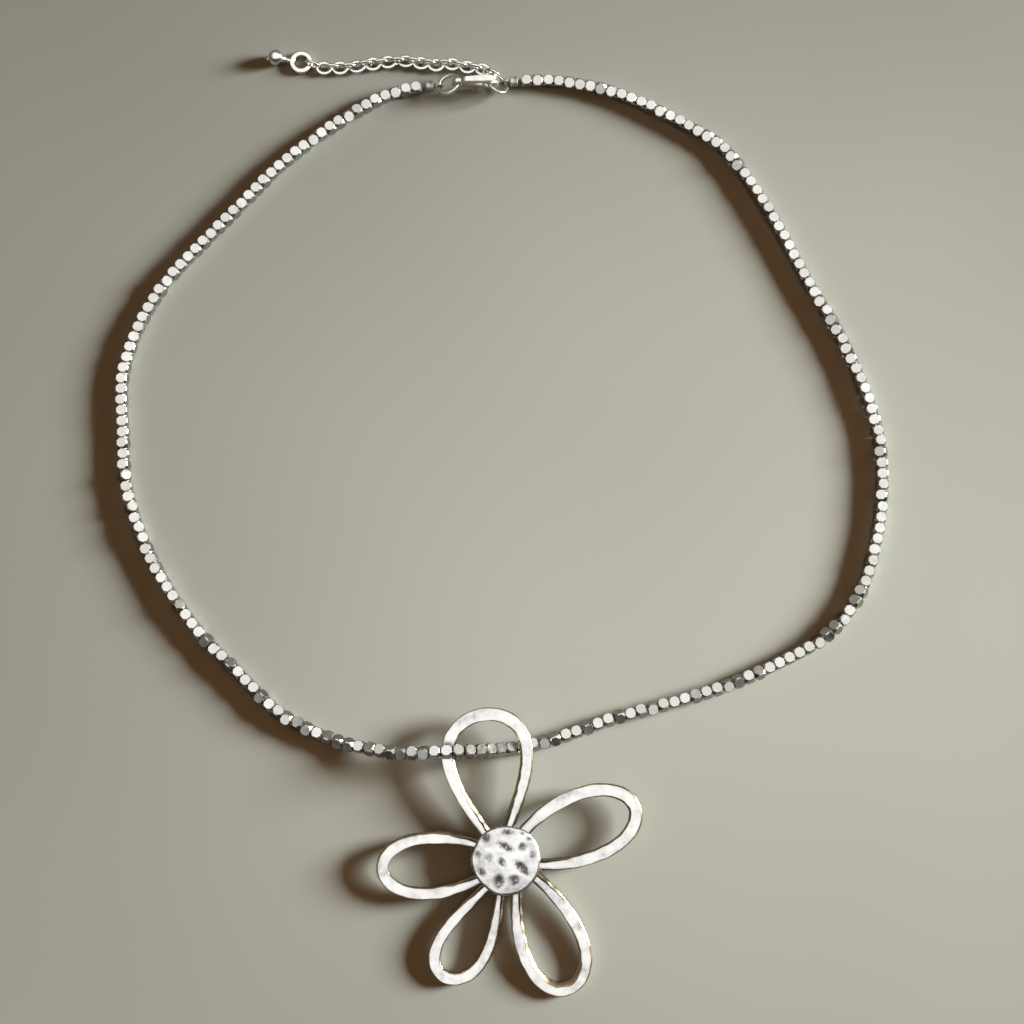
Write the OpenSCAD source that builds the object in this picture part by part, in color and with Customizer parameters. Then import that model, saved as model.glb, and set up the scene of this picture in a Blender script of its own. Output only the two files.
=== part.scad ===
// Flower necklace, laid on a flat surface with its clasp fastened.
// Units are millimetres. +Z is up, and the surface is at z = 0.
// +Y runs from the pendant to the clasp, and the origin is below the middle of the whole piece.

/* [Bead strand] */
// Diameter that the beads fill, across their rounded corners
strand_d = 2.5; // [2.2:0.1:2.6]
// Distance between the rings of the strand's tube
ring_step = 5.2; // [4:0.1:7]

/* [Flower pendant] */
// Height of the petal wire at the petals' tips
petal_tip_h = 1.4; // [1.2:0.1:1.5]
// Height of the petal wire where it goes under the disc
petal_root_h = 1.9; // [1.6:0.1:2]
// Diameter of the hammered disc
disc_d = 12.2; // [11:0.1:13]
// Height of the disc's rounded edge
disc_edge_h = 0.9; // [0.7:0.1:1.2]
// Rise of the disc's crown above its edge
disc_crown_h = 0.6; // [0.3:0.1:0.9]
// Depth of the hammer marks in the disc
dent_depth = 0.25; // [0.15:0.05:0.35]
// Tilt of the pendant, whose top petal lies on the strand
pendant_tilt = 3.66; // [3.6:0.02:3.9]

/* [Clasp] */
// Length of the clasp from its eye to its nose
clasp_l = 9.2; // [9.1:0.1:9.3]
// Thickness of the claw
claw_t = 1.6; // [1.4:0.1:1.7]
// Thickness of the eye
eye_t = 1.2; // [1:0.1:1.4]
// Thickness of the lever
lever_t = 0.9; // [0.7:0.1:0.9]
// Radius of the riveted pin
pin_r = 0.3; // [0.25:0.01:0.32]

/* [Rings and chain] */
// Radius of the left jump ring, to the middle of its wire
left_ring_r = 2.05; // [2:0.05:2.1]
// Radius of the right jump ring, to the middle of its wire
right_ring_r = 2.05; // [2:0.05:2.1]
// Thickness of the jump rings' wire
ring_wire = 0.65; // [0.5:0.05:0.65]
// Diameter that the extender chain's links fill
chain_d = 2.2; // [1.8:0.1:2.4]

/* [End drop] */
// Radius of the end ring, to the middle of its wire
end_ring_r = 1.75; // [1.6:0.05:1.85]
// Thickness of the end ring's wire
end_ring_wire = 1.1; // [0.9:0.1:1.2]
// Diameter of the ball
ball_d = 3; // [2.6:0.1:3.2]

/* [Hidden] */

silver = "#c9c7c2";
dark_silver = "#8e8b85";
tube_sides = 8;
round_fn = 64;
small_fn = 32;
eps = 0.01;

// Route of the strand's middle, from the right crimp round to the left one: x, y, z.
// It runs under the top petal's right limb at x = 5 and over its left limb at x = -9.
strand_r = strand_d / 2;
strand_route = [
    [3.7, 81.3, strand_r], [9, 81.4, strand_r], [14.5, 80.8, strand_r], [20.5, 79.5, strand_r],
    [28, 76.5, strand_r], [35.5, 72.5, strand_r], [42.5, 68, strand_r], [48.5, 59.5, strand_r],
    [53.5, 50.5, strand_r], [58, 41.5, strand_r], [63, 32.5, strand_r], [67, 23, strand_r],
    [70, 13, strand_r], [70.5, 2.5, strand_r], [69, -7.5, strand_r], [65.5, -17.5, strand_r],
    [59, -25, strand_r], [50, -30, strand_r], [40.5, -34, strand_r], [30.5, -37, strand_r],
    [21, -39.5, strand_r], [12.5, -42.5, strand_r], [6, -44.3, strand_r], [2.5, -44.9, 1.5],
    [-1, -45.2, 2.8], [-5, -45.4, 5], [-9.5, -45.5, 5.75], [-14.5, -45.7, 4.9],
    [-19.5, -45.5, 3.5], [-24.5, -44.7, 2.1], [-29.5, -43.5, 1.35], [-39, -39, strand_r],
    [-46.5, -32, strand_r], [-54, -24.5, strand_r], [-60, -16.5, strand_r], [-65, -7.5, strand_r],
    [-68.5, 2.5, strand_r], [-69.5, 12.5, strand_r], [-70, 23, strand_r], [-67.5, 32.5, strand_r],
    [-62.5, 41.5, strand_r], [-55.5, 49.5, strand_r], [-48.5, 57, strand_r], [-41.5, 64.5, strand_r],
    [-33.5, 71, strand_r], [-26, 76, strand_r], [-20.5, 78.8, strand_r], [-14.35, 80.2, strand_r]
];

// Route of the extender chain's middle, from the end ring to the right ring: x, y, z.
chain_r = chain_d / 2;
chain_route = [
    [-35.6, 84.8, chain_r], [-33.5, 84.1, chain_r], [-27.5, 84.4, chain_r], [-22, 85.2, chain_r],
    [-17.5, 85.5, chain_r], [-12.5, 84.8, chain_r], [-8.5, 84.7, chain_r], [-5, 84.2, chain_r],
    [-2.8, 83.7, chain_r], [-1.5, 83, chain_r]
];

// The petals: where the two limbs would meet, from the middle of the disc (x and y), the way that
// the petal points, its length and width along the middle of the wire, how full its narrow end is
// (less is fuller), the sideways lean of its tip, and the wire's width at the tip and at the root.
petal_table = [
    // root_x, root_y, turn, length, width, fullness, lean, tip_w, root_w
    [-1.1, 0.8, 98, 24.8, 14.0, 0.77, -0.5, 2.4, 1.9],
    [0.3, 0.4, 22.8, 24.1, 11.2, 0.30, -0.5, 2.4, 1.9],
    [0, 0.1, 184.5, 21.9, 9.7, 0.35, 0, 2.2, 1.8],
    [-0.1, -0.8, 244.7, 22.1, 8.4, 0.90, -1.2, 2.1, 1.7],
    [2.1, -0.4, 293.7, 23.5, 10.4, 0.51, -0.4, 2.4, 1.9]
];
petal_step = 8;
// A limb stops this far from the middle of the disc, inside the solder.
limb_stop = 3.4;

// The hammer marks: place from the middle of the disc, length, width and turn.
dent_table = [
    // x, y, length, width, turn
    [-3.4, 3.8, 1.5, 1.5, 0],
    [0.4, 4.8, 1.9, 1.1, 0],
    [3.0, 4.6, 0.9, 0.9, 0],
    [4.3, 3.8, 1.1, 1.1, 0],
    [0, 2.4, 2.8, 1.2, -25],
    [3.0, 2.3, 1.4, 1.4, 0],
    [-5.0, 1.0, 1.1, 1.1, 0],
    [-3.0, 0.6, 1.4, 1.4, 0],
    [-0.7, -0.2, 1.6, 1.1, -30],
    [4.7, 0.9, 1.3, 1.3, 0],
    [2.8, -1.2, 2.8, 1.3, -40],
    [-4.3, -2.0, 1.6, 0.9, -30],
    [-1.4, -3.5, 2.1, 1.7, 75],
    [1.3, -3.3, 1.8, 1.4, 20]
];

// The pendant's own origin is the middle of its flat back, and it turns about its lowest edge.
pendant_x = 1.35;
pendant_y = -64.25;
pendant_foot_y = -87.5;
disc_base_z = 1.3;
disc_round = 0.25;
crown_flat = 0.2;
solder_r = 4.8;
solder_z = [-0.05, 1.5];
petal_flat = 0.72;
petal_side_low = 0.3;
petal_side_high = 0.7;

// The clasp stands on edge. Its own x runs from the eye to the nose, and its own y is up.
clasp_x = -9.1;
clasp_y = 80.3;
clasp_z = 2.9;
eye_r = 1.3;
eye_hole_r = 0.7;
heel_r = 1.7;
heel = [3.2, 0.2];
nose_r = 2.3;
nose = [clasp_l - nose_r, 0];
mouth_nose_r = 1.3;
mouth_nose = [nose[0] - 0.05, 0.05];
mouth_heel_r = 0.75;
mouth_heel = [4.8, 0];
// The gap that the lever closes, from the heel to the hook's end and back below.
claw_gap = [[4.2, -0.3], [7.65, -0.55], [8.75, -2.45], [8.75, -2.9], [3.4, -2.9], [3.4, -1.9]];
pin_at = [3.3, -0.6];
// The slot for the lever's root runs this far below and above the pin, and toward the nose.
slot_low = 2;
slot_high = 0.95;
slot_l = 1.6;
pin_clear = 0.05;
slot_clear = 0.1;
lever_root_r = 0.8;
lever_tip = [7.25, -1.65];
lever_tip_r = 0.4;
tab_at = [4.5, -2.2];
tab_r = 0.45;

// Where the rings cross the clasp, and how they lean.
left_ring_swing = -21.5;
left_ring_roll = -15;
right_ring_swing = 32;
right_ring_roll = -20;
right_ring_cross = [7, 0.5];

// The crimps: a tube of thin metal, and the end loop of the stringing wire.
crimp_d = 2;
crimp_l = 1.5;
loop_r = 0.85;
loop_wire = 0.36;
left_crimp_at = [-14.05, 80.3, 1.25];
left_loop_at = [-11.75, 80.3, 1.35];
right_crimp_at = [3.55, 81.2, 1.25];
right_loop_at = [1.2, 81.1, 1.15];

// The end drop, lying flat at the chain's far end.
end_ring_at = [-38.1, 85.4, end_ring_wire / 2];
ball_at = [-42.9, 86, ball_d / 2];
neck_r = [0.7, 0.45];
nub_at = [-44.4, 85.7, 1.4];
nub_r = 0.3;

function unit(v) = v / norm(v);

// One coordinate set of a smooth curve through b and c, with a and d on either side of them.
function curve_point(a, b, c, d, t) =
    b * (2 * t * t * t - 3 * t * t + 1) + (c - a) / 2 * (t * t * t - 2 * t * t + t)
    + c * (3 * t * t - 2 * t * t * t) + (d - b) / 2 * (t * t * t - t * t);

function at_least(p, low) = [p[0], p[1], max(p[2], low)];

// Points at even steps along a route, none lower than low.
function smooth_route(route, step, low) = [
    for (i = [0 : len(route) - 2])
        let (a = route[max(i - 1, 0)], b = route[i], c = route[i + 1],
            d = route[min(i + 2, len(route) - 1)], count = max(1, round(norm(c - b) / step)))
            for (k = [0 : count - 1]) at_least(curve_point(a, b, c, d, k / count), low),
    route[len(route) - 1]
];

// A ring of points across a path: outline holds distances to the side and up.
function ring_at(p, along, outline) =
    let (side = unit(cross([0, 0, 1], along)), up = cross(along, side))
        [for (q = outline) p + q[0] * side + q[1] * up];

function path_rings(path, outline) = [
    for (i = [0 : len(path) - 1])
        let (before = path[max(i - 1, 0)], after = path[min(i + 1, len(path) - 1)])
            ring_at(path[i], unit(after - before), outline)
];

function round_outline(r, sides) = [
    for (k = [0 : sides - 1]) r * [cos(k * 360 / sides), sin(k * 360 / sides)]
];

// A closed solid through rings that each have the same number of points.
module skin(rings) {
    n = len(rings[0]);
    last = len(rings) - 1;
    side_faces = [
        for (i = [0 : last - 1], j = [0 : n - 1], half = [0, 1])
            let (a = i * n + j, b = i * n + (j + 1) % n, c = a + n, d = b + n)
                half == 0 ? [a, c, d] : [a, d, b]
    ];
    start_face = [for (j = [0 : n - 1]) j];
    end_face = [for (j = [n - 1 : -1 : 0]) last * n + j];
    polyhedron([for (ring = rings) each ring], concat(side_faces, [start_face, end_face]), convexity = 8);
}

// One torus of wire, flat at the origin.
module wire_ring(r, wire) {
    rotate_extrude($fn = round_fn)
        translate([r, 0]) rotate(180) circle(d = wire, $fn = small_fn);
}

// The outer form of the beads on their thread, at its whole length.
module bead_strand() {
    color(silver)
        skin(path_rings(
            smooth_route(strand_route, ring_step, strand_r), round_outline(strand_r, tube_sides)));
}

// How far along a petal a point lies, from 0 at its root to 1 at its tip.
function petal_part(turn) = (1 + cos(turn)) / 2;

// The greatest value of the petal curve's side term, which makes width the petal's true width.
function petal_peak(fullness) =
    let (at = fullness / (1 + fullness)) sqrt(1 - at * at) * pow((1 + at) / 2, fullness);

// A point on the middle of a petal's wire. The turn runs from one limb round the tip to the other.
function petal_point(row, turn) =
    let (root_x = row[0], root_y = row[1], way = row[2], length = row[3], width = row[4],
        fullness = row[5], lean = row[6], part = petal_part(turn), along = length * part,
        across = width / 2 * sin(turn) * pow(part, fullness) / petal_peak(fullness) + lean * part * part)
        [root_x + along * cos(way) - across * sin(way), root_y + along * sin(way) + across * cos(way), 0];

// The hammered wire's section: flat on both faces, with its edges rounded off.
function wire_outline(w, h) = [
    [w / 2, petal_side_low * h], [w / 2, petal_side_high * h],
    [petal_flat * w / 2, h], [-petal_flat * w / 2, h],
    [-w / 2, petal_side_high * h], [-w / 2, petal_side_low * h],
    [-petal_flat * w / 2, 0], [petal_flat * w / 2, 0]
];

module petal(row) {
    tip_w = row[7];
    root_w = row[8];
    skin([
        for (turn = [-20 * petal_step : petal_step : 20 * petal_step])
            let (part = petal_part(turn),
                along = unit(petal_point(row, turn + 1) - petal_point(row, turn - 1)),
                w = root_w + (tip_w - root_w) * sqrt(part),
                h = petal_root_h + (petal_tip_h - petal_root_h) * sqrt(part))
                if (norm(petal_point(row, turn)) > limb_stop)
                    ring_at(petal_point(row, turn), along, wire_outline(w, h))
    ]);
}

function disc_crown_z(part) = disc_base_z + disc_edge_h + disc_crown_h * (1 - part * part);

module disc_blank() {
    r = disc_d / 2;
    rotate_extrude($fn = round_fn)
        polygon([
            [0, disc_base_z], [r - disc_round, disc_base_z], [r, disc_base_z + disc_round],
            [r, disc_base_z + disc_edge_h - disc_round], [r - disc_round, disc_base_z + disc_edge_h],
            for (part = [0.9 : -0.1 : crown_flat - eps]) [r * part, disc_crown_z(part)],
            [0, disc_crown_z(crown_flat)]
        ]);
}

module dent_ball(r) {
    rotate([90, 0, 0]) sphere(r = r, $fn = round_fn);
}

// One hammer mark: a ball's print, drawn out along its length.
module dent(row) {
    reach = norm([row[0], row[1]]) / (disc_d / 2);
    half_w = row[3] / 2;
    ball_r = (half_w * half_w + dent_depth * dent_depth) / (2 * dent_depth);
    spread = (row[2] - row[3]) / 2;
    translate([row[0], row[1], disc_crown_z(reach) + ball_r - dent_depth]) rotate(row[4])
        if (spread > eps) {
            for (end = [-1, 1]) translate([end * spread, 0, 0]) dent_ball(ball_r);
            rotate([0, -90, 0]) cylinder(r = ball_r, h = 2 * spread, center = true, $fn = round_fn);
        } else {
            dent_ball(ball_r);
        }
}

module flower_pendant() {
    color(silver)
        translate([pendant_x, pendant_y, (pendant_y - pendant_foot_y) * tan(pendant_tilt)])
            rotate([pendant_tilt, 0, 0]) {
                for (row = petal_table) petal(row);
                // the bed of solder that the wires' ends are sunk in, behind the disc
                translate([0, 0, solder_z[0]])
                    cylinder(r = solder_r, h = solder_z[1] - solder_z[0], $fn = round_fn);
                difference() {
                    disc_blank();
                    for (row = dent_table) dent(row);
                }
            }
}

// A crimp tube at one end of the strand, with the wire loop that it grips. toward is 1 or -1.
module crimp(at, loop_at, toward) {
    translate(at) rotate([0, 90 * toward, 0]) cylinder(d = crimp_d, h = crimp_l, $fn = round_fn);
    translate(loop_at) rotate([90, 0, 0]) wire_ring(loop_r, loop_wire);
}

module left_crimp() {
    color(dark_silver) crimp(left_crimp_at, left_loop_at, 1);
}

module right_crimp() {
    color(dark_silver) crimp(right_crimp_at, right_loop_at, -1);
}

module left_ring() {
    color(silver)
        translate([clasp_x + eye_r, clasp_y, clasp_z]) rotate([0, left_ring_swing, 0])
            translate([-left_ring_r, 0, 0]) rotate([left_ring_roll, 0, 0])
                wire_ring(left_ring_r, ring_wire);
}

module right_ring() {
    color(silver)
        translate([clasp_x + right_ring_cross[0], clasp_y, clasp_z + right_ring_cross[1]])
            rotate([0, right_ring_swing, 0]) translate([right_ring_r, 0, 0])
                rotate([right_ring_roll, 0, 0]) wire_ring(right_ring_r, ring_wire);
}

// The straight band that joins two circles, a hair inside the lines that touch both.
module band(a, a_r, b, b_r) {
    way = atan2(b[1] - a[1], b[0] - a[0]);
    slope = acos((a_r - b_r) / norm(b - a));
    left = [cos(way + slope), sin(way + slope)];
    right = [cos(way - slope), sin(way - slope)];
    polygon([
        a + (a_r - eps) * left, b + (b_r - eps) * left, b + (b_r - eps) * right, a + (a_r - eps) * right
    ]);
}

module two_circles(a, a_r, b, b_r) {
    translate(a) circle(r = a_r, $fn = round_fn);
    translate(b) circle(r = b_r, $fn = round_fn);
    band(a, a_r, b, b_r);
}

module rounded_bar(a, a_r, b, b_r, h) {
    translate(a) cylinder(r = a_r, h = h, $fn = round_fn);
    translate(b) cylinder(r = b_r, h = h, $fn = round_fn);
    linear_extrude(h) band(a, a_r, b, b_r);
}

module claw_outline() {
    difference() {
        two_circles(heel, heel_r, nose, nose_r);
        two_circles(mouth_heel, mouth_heel_r, mouth_nose, mouth_nose_r);
        polygon(claw_gap);
    }
}

// Turns a shape drawn lying down into its place, standing on edge.
module stand_clasp() {
    translate([clasp_x, clasp_y, clasp_z]) rotate([90, 0, 0]) children();
}

module clasp_body() {
    slot_t = lever_t + 2 * slot_clear;
    color(silver) stand_clasp() {
        difference() {
            union() {
                translate([0, 0, -claw_t / 2]) linear_extrude(claw_t) claw_outline();
                translate([eye_r, 0, -eye_t / 2]) cylinder(r = eye_r, h = eye_t, $fn = round_fn);
            }
            translate([eye_r, 0, -claw_t]) cylinder(r = eye_hole_r, h = 2 * claw_t, $fn = round_fn);
            // the slot that the lever's root turns in
            translate([pin_at[0], pin_at[1], -slot_t / 2])
                cylinder(r = lever_root_r + slot_clear, h = slot_t, $fn = round_fn);
            translate([pin_at[0], pin_at[1] - slot_low, -slot_t / 2])
                cube([slot_l, slot_low + slot_high, slot_t]);
        }
        translate([pin_at[0], pin_at[1], -claw_t / 2]) cylinder(r = pin_r, h = claw_t, $fn = round_fn);
    }
}

module clasp_lever() {
    color(dark_silver) stand_clasp()
        difference() {
            translate([0, 0, -lever_t / 2]) {
                rounded_bar(pin_at, lever_root_r, lever_tip, lever_tip_r, lever_t);
                rounded_bar([tab_at[0], tab_at[1] + 0.9], tab_r, tab_at, tab_r, lever_t);
            }
            translate([pin_at[0], pin_at[1], -claw_t])
                cylinder(r = pin_r + pin_clear, h = 2 * claw_t, $fn = round_fn);
        }
}

module extender_chain() {
    color(silver)
        skin(path_rings(
            smooth_route(chain_route, ring_step / 2, chain_r), round_outline(chain_r, tube_sides)));
}

// The ring and the ball on its neck are one soldered piece.
module end_drop() {
    way = unit([ball_at[0] - end_ring_at[0], ball_at[1] - end_ring_at[1], 0]);
    neck_start = end_ring_at + end_ring_r * way;
    neck = ball_at - neck_start;
    color(silver) {
        translate(end_ring_at) wire_ring(end_ring_r, end_ring_wire);
        translate(neck_start) rotate([0, acos(neck[2] / norm(neck)), atan2(neck[1], neck[0])])
            cylinder(r1 = neck_r[1], r2 = neck_r[0], h = norm(neck), $fn = round_fn);
        translate(ball_at) rotate(90) sphere(d = ball_d, $fn = round_fn);
        translate(nub_at) rotate(180) sphere(r = nub_r, $fn = small_fn);
    }
}

bead_strand();
flower_pendant();
left_crimp();
right_crimp();
left_ring();
right_ring();
clasp_body();
clasp_lever();
extender_chain();
end_drop();
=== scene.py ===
import math

import bmesh
import bpy
import numpy as np
from mathutils import Matrix, Vector, noise


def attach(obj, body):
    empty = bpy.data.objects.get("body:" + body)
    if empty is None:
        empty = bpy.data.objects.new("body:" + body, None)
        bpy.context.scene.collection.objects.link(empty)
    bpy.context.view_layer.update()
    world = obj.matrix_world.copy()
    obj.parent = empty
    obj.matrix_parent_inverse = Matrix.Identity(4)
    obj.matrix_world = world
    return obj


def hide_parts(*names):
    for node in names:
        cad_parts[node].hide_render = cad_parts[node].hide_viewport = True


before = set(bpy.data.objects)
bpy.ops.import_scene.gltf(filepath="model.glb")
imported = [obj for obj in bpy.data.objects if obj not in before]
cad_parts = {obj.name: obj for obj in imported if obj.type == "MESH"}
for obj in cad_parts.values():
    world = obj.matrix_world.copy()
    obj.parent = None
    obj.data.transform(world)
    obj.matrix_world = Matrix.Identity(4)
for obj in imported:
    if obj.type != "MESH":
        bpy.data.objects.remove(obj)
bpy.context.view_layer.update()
scene = bpy.context.scene
mm = 0.001


# Small helpers

# a new object in the scene
def linked(name, data):
    piece = bpy.data.objects.new(name, data)
    scene.collection.objects.link(piece)
    return piece


# verts are in millimetres
def meshPiece(name, verts, faces, material, smooth=True):
    data = bpy.data.meshes.new(name)
    data.from_pydata([tuple(c * mm for c in v) for v in verts], [], faces)
    data.validate()
    piece = linked(name, data)
    data.materials.append(material)
    data.polygons.foreach_set("use_smooth", [smooth] * len(data.polygons))
    outward(piece)
    return piece


def outward(piece):
    shape = bmesh.new()
    shape.from_mesh(piece.data)
    bmesh.ops.recalc_face_normals(shape, faces=shape.faces)
    shape.to_mesh(piece.data)
    shape.free()
    piece.data.update()


# marks the edges that turn by more than this as sharp
def sharpen(piece, degrees):
    shape = bmesh.new()
    shape.from_mesh(piece.data)
    limit = math.radians(degrees)
    for edge in shape.edges:
        if len(edge.link_faces) == 2 and edge.calc_face_angle() > limit:
            edge.smooth = False
    shape.to_mesh(piece.data)
    shape.free()


# what a piece's modifiers make of it, as a plain mesh
def plainMesh(piece, name):
    bpy.context.view_layer.update()
    graph = bpy.context.evaluated_depsgraph_get()
    data = bpy.data.meshes.new_from_object(piece.evaluated_get(graph), depsgraph=graph)
    piece.modifiers.clear()
    data.name = name
    return data


# a part t of the way from b to c, on a smooth curve through all four
def curvePoint(a, b, c, d, t):
    return (b * (2 * t ** 3 - 3 * t ** 2 + 1) + (c - a) / 2 * (t ** 3 - 2 * t ** 2 + t)
            + c * (3 * t ** 2 - 2 * t ** 3) + (d - b) / 2 * (t ** 3 - t ** 2))


# how far along the path each of its points is
def distances(path):
    return np.concatenate([[0], np.cumsum(np.linalg.norm(np.diff(path, axis=0), axis=1))])


# the path's points at these distances along it
def pointsAt(path, stops):
    run = distances(path)
    return np.stack([np.interp(stops, run, path[:, k]) for k in range(3)], axis=1)


# points at even distances along a smooth curve through the route
def smoothRoute(route, step, low):
    route = [np.array(p, float) for p in route]
    last = len(route) - 1
    parts = 40            # points between two of the route's
    dense = []
    for i in range(last):
        near = [route[k] for k in (max(i - 1, 0), i, i + 1, min(i + 2, last))]
        dense += [curvePoint(*near, k / parts) for k in range(parts)]
    dense = np.array(dense + [route[-1]])
    dense[:, 2] = np.maximum(dense[:, 2], low)
    length = distances(dense)[-1]
    return pointsAt(dense, np.linspace(0, length, max(2, round(length / step) + 1))), length


def turnsRound(count):
    return [2 * math.pi * k / count for k in range(count)]


# the faces between rings of points, and the two ends
def ringFaces(count, sides, closed=False):
    faces = []
    for i in range(count if closed else count - 1):
        n = (i + 1) % count
        for j in range(sides):
            k = (j + 1) % sides
            faces.append((i * sides + j, i * sides + k, n * sides + k, n * sides + j))
    if not closed:
        faces.append(tuple(reversed(range(sides))))
        faces.append(tuple((count - 1) * sides + j for j in range(sides)))
    return faces


# the same with a middle point before the first ring and another after the last
def domeFaces(count, sides):
    faces = []
    last = 1 + (count - 1) * sides
    for k in range(sides):
        n = (k + 1) % sides
        faces.append((0, 1 + n, 1 + k))
        for a in range(1, last, sides):
            b = a + sides
            faces.append((a + k, a + n, b + n, b + k))
        faces.append((last + k, last + n, last + sides))
    return faces


# a skin round a path: each outline holds distances to the side and up
def sweep(path, outlines, closed=False):
    verts = []
    count = len(path)
    for i in range(count):
        before = path[i - 1] if closed or i else path[0]
        after = path[(i + 1) % count] if closed or i < count - 1 else path[-1]
        along = Vector(after) - Vector(before)
        along.normalize()
        side = Vector((0, 0, 1)).cross(along)
        side.normalize()
        up = along.cross(side)
        for q in outlines[i]:
            verts.append(Vector(path[i]) + q[0] * side + q[1] * up)
    return verts, ringFaces(count, len(outlines[0]), closed)


# turns rows of distance and radius about the x axis
def lathe(profile, sides):
    verts = [(x, r * math.cos(t), r * math.sin(t)) for x, r in profile for t in turnsRound(sides)]
    return verts, ringFaces(len(profile), sides)


# a power below 1 makes the circle squarer
def roundOutline(r, sides, power=1.0):
    return [(r * math.copysign(abs(math.cos(t)) ** power, math.cos(t)),
             r * math.copysign(abs(math.sin(t)) ** power, math.sin(t))) for t in turnsRound(sides)]


def joinShapes(shapes):
    verts, faces = [], []
    for v, f in shapes:
        base = len(verts)
        verts += list(v)
        faces += [tuple(i + base for i in face) for face in f]
    return verts, faces


# Materials

def newTree(name):
    material = bpy.data.materials.new(name)
    material.use_nodes = True
    tree = material.node_tree
    tree.nodes.clear()
    out = tree.nodes.new("ShaderNodeOutputMaterial")
    shader = tree.nodes.new("ShaderNodeBsdfPrincipled")
    tree.links.new(shader.outputs["BSDF"], out.inputs["Surface"])
    return material, tree, shader


# links a node's output to the socket, or sets a plain value on it
def feed(tree, value, socket):
    if hasattr(value, "links"):
        tree.links.new(value, socket)
    else:
        socket.default_value = value


# a new node with its settings and its named inputs
def node(tree, kind, settings=None, **inputs):
    made = tree.nodes.new(kind)
    for key, value in (settings or {}).items():
        setattr(made, key, value)
    for key, value in inputs.items():
        feed(tree, value, made.inputs[key])
    return made


def maths(tree, operation, *values):
    made = node(tree, "ShaderNodeMath", {"operation": operation})
    for value, socket in zip(values, made.inputs):
        feed(tree, value, socket)
    return made.outputs[0]


# two stops, each a place and a colour
def ramp(tree, source, stops):
    made = node(tree, "ShaderNodeValToRGB", Fac=source)
    for element, (place, colour) in zip(made.color_ramp.elements, stops):
        element.position = place
        element.color = (*colour, 1)
    return made.outputs["Color"]


def grain(tree, coords, scale, detail, rough=0.55):
    made = node(tree, "ShaderNodeTexNoise", Scale=scale, Detail=detail, Roughness=rough, Vector=coords)
    return made.outputs["Fac"]


def blendColour(tree, factor, a, b):
    made = node(tree, "ShaderNodeMix", {"data_type": "RGBA"})
    for k, value in ((0, factor), (6, a), (7, b)):      # the sockets that mix colours
        feed(tree, (*value, 1) if isinstance(value, tuple) else value, made.inputs[k])
    return made.outputs[2]


def spread(tree, source, low, high, newLow=0, newHigh=1, way="LINEAR"):
    made = node(tree, "ShaderNodeMapRange", {"interpolation_type": way}, Value=source, **{
        "From Min": low, "From Max": high, "To Min": newLow, "To Max": newHigh})
    return made.outputs["Result"]


# the levels of the noise between which each thing changes, in every metal
levels = {
    "tone": (0.3, 0.62),
    "polish": (0.3, 0.7),
    "patch": (0.47, 0.62),
    "patchLeast": 0.06,   # how much of the flecks is left between the patches
}


# worn silver-coloured metal: cloudy tone, tarnish in flecks, colours laid where an attribute says (wear,
# and also painted shade and a painted reflection), a fine unevenness
def metalFinish(name, look):
    material, tree, shader = newTree(name)
    coords = tree.nodes.new("ShaderNodeTexCoord").outputs["Object"]
    clouds = grain(tree, coords, look["cloudScale"], detail=4)
    tone = ramp(tree, clouds, list(zip(levels["tone"], (look["shade"], look["bright"]))))
    flecks = grain(tree, coords, look["fleckScale"], look["fleckDetail"], rough=0.7)
    fleckTo = look["fleckFrom"] + look["fleckSoft"]
    fleckMask = spread(tree, flecks, look["fleckFrom"], fleckTo, 0, look["fleckDepth"])
    if "patchScale" in look:
        patches = grain(tree, coords, look["patchScale"], detail=2)
        patches = spread(tree, patches, *levels["patch"], levels["patchLeast"], 1)
        fleckMask = maths(tree, "MULTIPLY", fleckMask, patches)
    tone = blendColour(tree, fleckMask, tone, look["tarnish"])
    # each attribute lays its colour: wear, or painted shade, or a painted reflection
    for mark, colour in look.get("marks", []):
        layer = node(tree, "ShaderNodeAttribute", {"attribute_name": mark})
        tone = blendColour(tree, layer.outputs["Fac"], tone, colour)
    tree.links.new(tone, shader.inputs["Base Color"])
    shader.inputs["Metallic"].default_value = look["metallic"]
    polish = spread(tree, clouds, *levels["polish"], look["roughLow"], look["roughHigh"])
    tree.links.new(polish, shader.inputs["Roughness"])
    bump = node(tree, "ShaderNodeBump", Strength=look["bumpStrength"], Distance=look["bumpDepth"],
                Height=grain(tree, coords, look["bumpScale"], detail=4, rough=0.6))
    tree.links.new(bump.outputs["Normal"], shader.inputs["Normal"])
    return material


beadLook = {
    "metallic": 1.0, "roughLow": 0.16, "roughHigh": 0.32,
    "bright": (0.66, 0.655, 0.635), "shade": (0.56, 0.555, 0.53), "tarnish": (0.30, 0.26, 0.22),
    "cloudScale": 700, "fleckScale": 2600, "fleckDetail": 6,
    "fleckFrom": 0.62, "fleckSoft": 0.1, "fleckDepth": 0.5,
    "bumpScale": 3500, "bumpStrength": 0.12, "bumpDepth": 0.00005,
    # wear darkens whole beads at random; side lays painted shade on the beads' sides, ends and holes
    "marks": [("wear", (0.20, 0.17, 0.13)), ("side", (0.155, 0.138, 0.112))],
}
pendantLook = {
    "metallic": 1.0, "roughLow": 0.17, "roughHigh": 0.34,
    "bright": (0.76, 0.755, 0.75), "shade": (0.60, 0.595, 0.59), "tarnish": (0.27, 0.265, 0.265),
    "cloudScale": 330, "fleckScale": 640, "fleckDetail": 4, "patchScale": 220,
    "fleckFrom": 0.34, "fleckSoft": 0.40, "fleckDepth": 0.9,
    "bumpScale": 1500, "bumpStrength": 0.25, "bumpDepth": 0.00012,
    # the first mark is a painted warm reflection on the walls and bevels; the second is patina in the
    # hollows with painted shade added at the disc, under the wires and on the dents' front sides
    "marks": [("paintedWarmSheen", (0.62, 0.48, 0.29)), ("patinaAndShade", (0.085, 0.078, 0.070))],
}
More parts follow.
